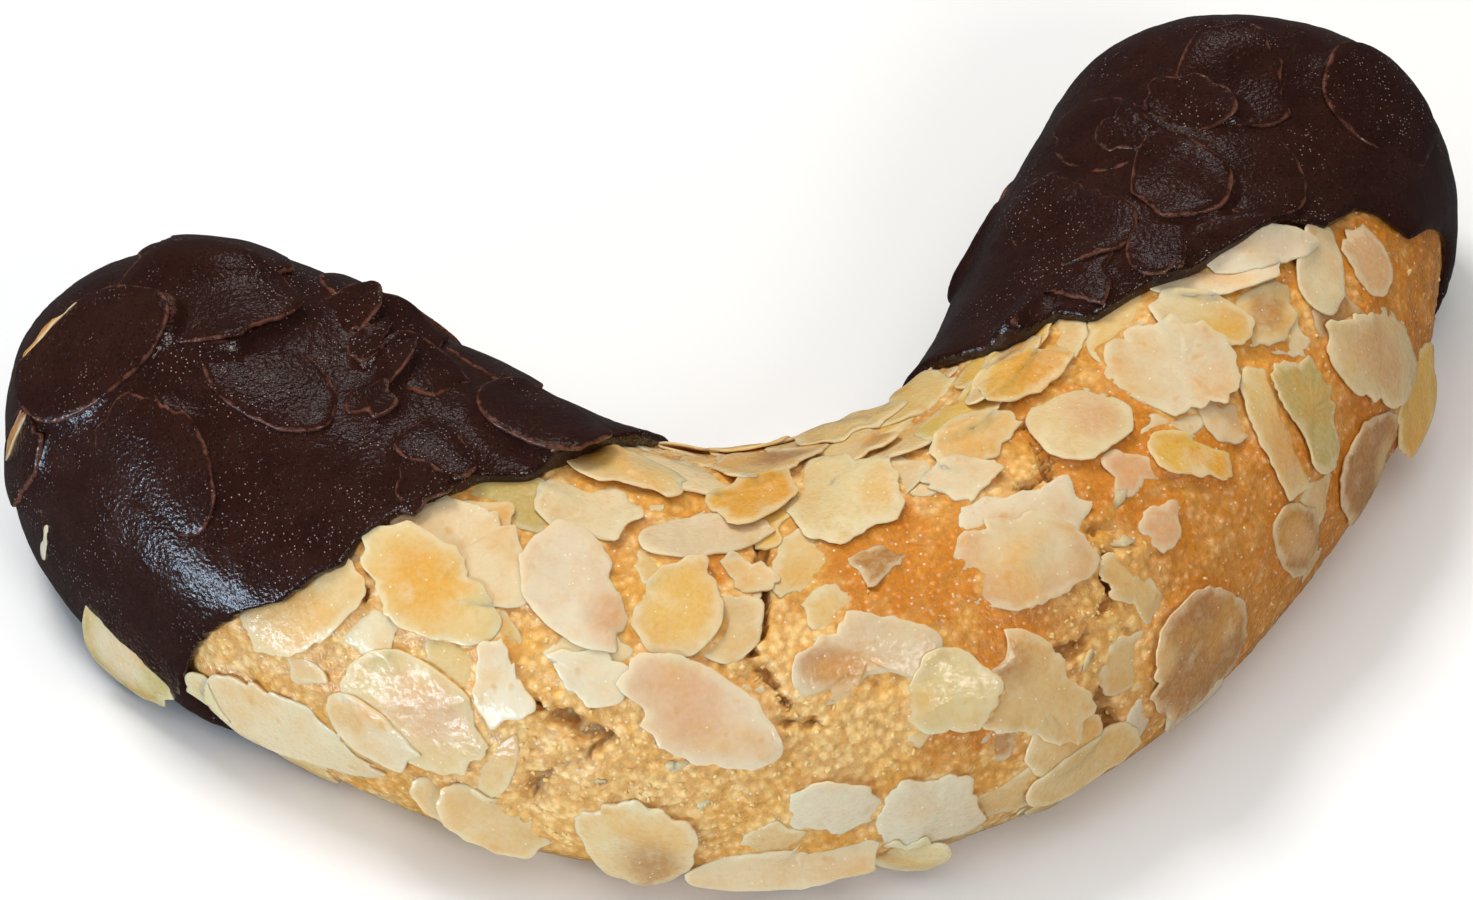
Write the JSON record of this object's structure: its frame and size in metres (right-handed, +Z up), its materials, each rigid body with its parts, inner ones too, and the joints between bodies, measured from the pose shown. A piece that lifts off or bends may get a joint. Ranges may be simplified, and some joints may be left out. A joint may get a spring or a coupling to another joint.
{
  "type": "almond horn",
  "caption": "Crescent of baked almond dough lying flat, rolled in flaked almonds, with both tips dipped in dark chocolate.",
  "frame": {"origin": "middle of the bounding box's underside, on the surface that the horn lies on", "axes": "+X from the left tip to the right tip as the picture shows it, +Y from the outside of the bend to the open bay, +Z up"},
  "size_m": [0.13, 0.0746, 0.0289],
  "materials": {
    "almond_crust": "baked golden dough under glazed ivory to caramel almond flakes",
    "dark_chocolate": "set dark chocolate, half glossy with a fine pebbled skin and thinner red-brown rims"
  },
  "bodies": {
    "root": {"almond_horn_body": "almond_crust", "chocolate_left": "dark_chocolate", "chocolate_right": "dark_chocolate"}
  },
  "joints": []
}
